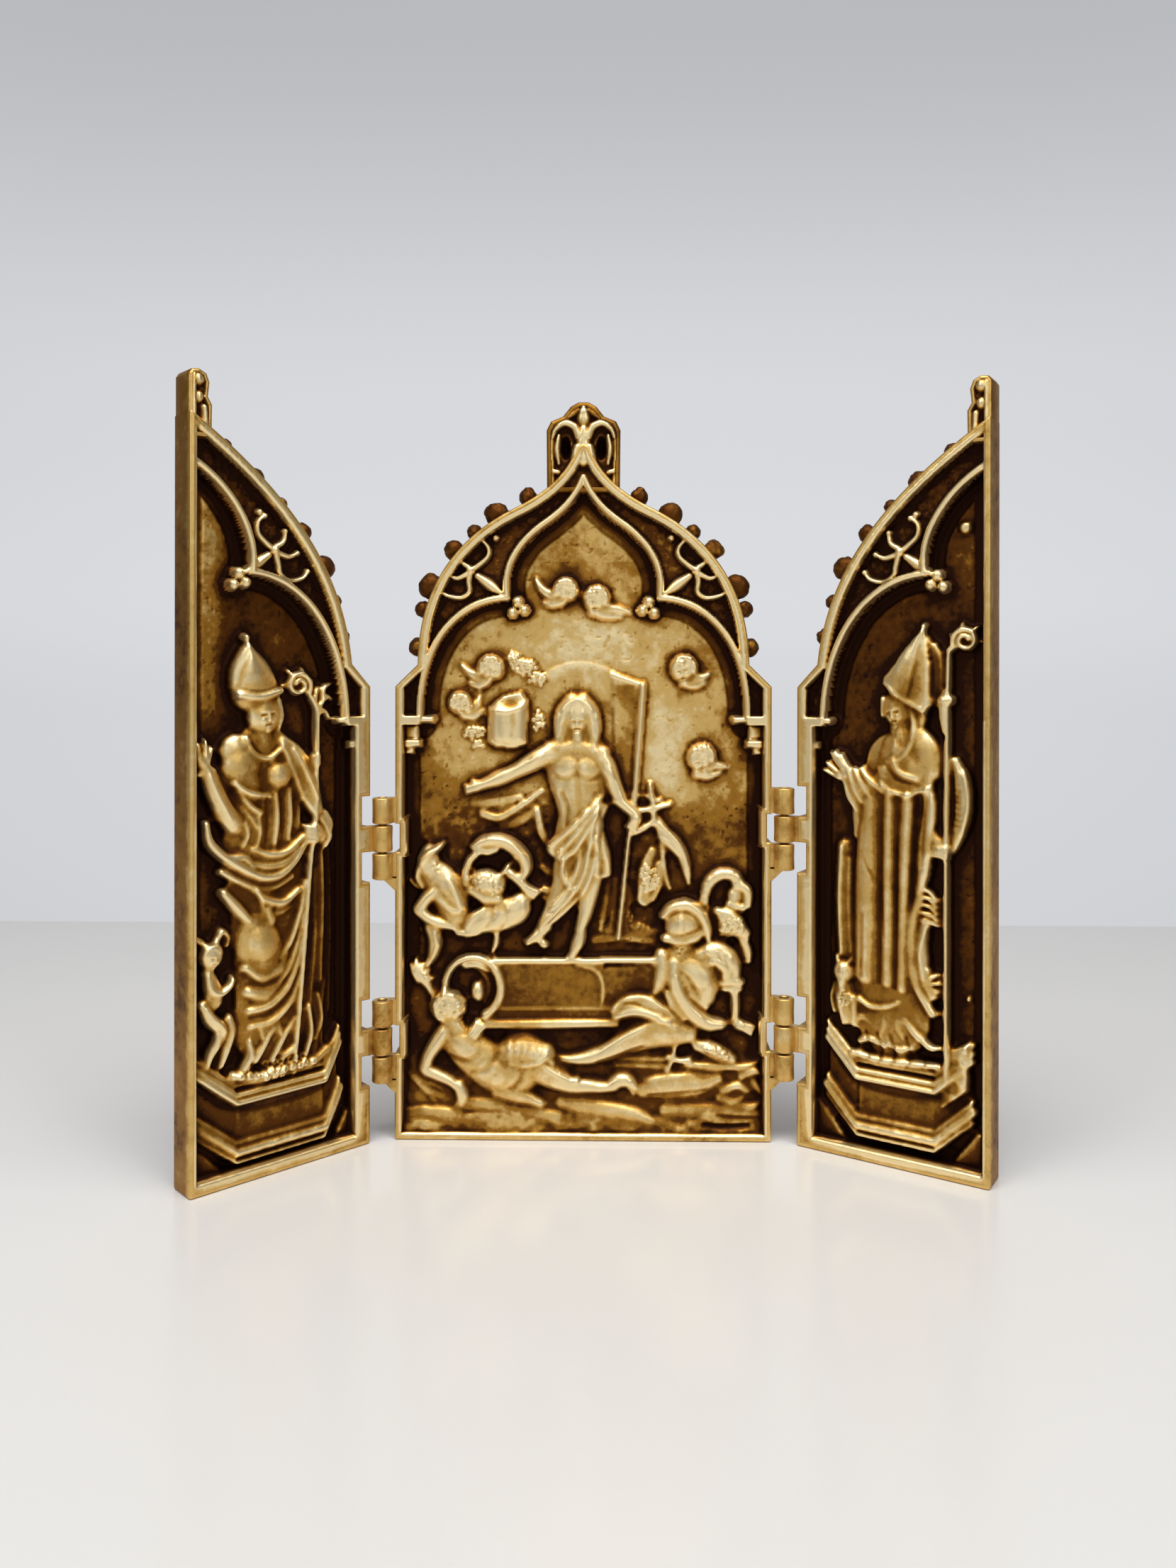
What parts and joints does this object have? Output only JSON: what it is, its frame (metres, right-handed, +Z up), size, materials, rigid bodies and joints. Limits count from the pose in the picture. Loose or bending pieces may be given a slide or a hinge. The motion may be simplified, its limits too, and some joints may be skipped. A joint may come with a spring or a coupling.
{
  "type": "triptych altarpiece",
  "caption": "Standing brass triptych: an arched centre panel with figures in relief, and two hinged wings that fold over it.",
  "frame": {"origin": "middle of the centre panel's underside", "axes": "+Z up, +Y towards the plain back of the centre panel, +X towards the wing on the viewer's right"},
  "size_m": [0.1529, 0.035, 0.1493],
  "materials": {
    "cast_brass": "cast, worn bright on the high parts, dark brown patina in the hollows",
    "pin_brass": "drawn rod, dull"
  },
  "bodies": {
    "center": {"center_panel": "cast_brass", "left_upper_pin": "pin_brass", "left_lower_pin": "pin_brass", "right_upper_pin": "pin_brass", "right_lower_pin": "pin_brass"},
    "left": {"left_wing": "cast_brass"},
    "right": {"right_wing": "cast_brass"}
  },
  "joints": [
    {"name": "left_wing_hinge", "type": "hinge", "parent": "center", "child": "left", "pos_m": [-0.0404, -0.0039, 0.04], "axis": [0, 0, 1], "range_deg": [-54, 136]},
    {"name": "right_wing_hinge", "type": "hinge", "parent": "center", "child": "right", "pos_m": [0.0404, -0.0039, 0.04], "axis": [0, 0, -1], "range_deg": [-42, 148]}
  ]
}
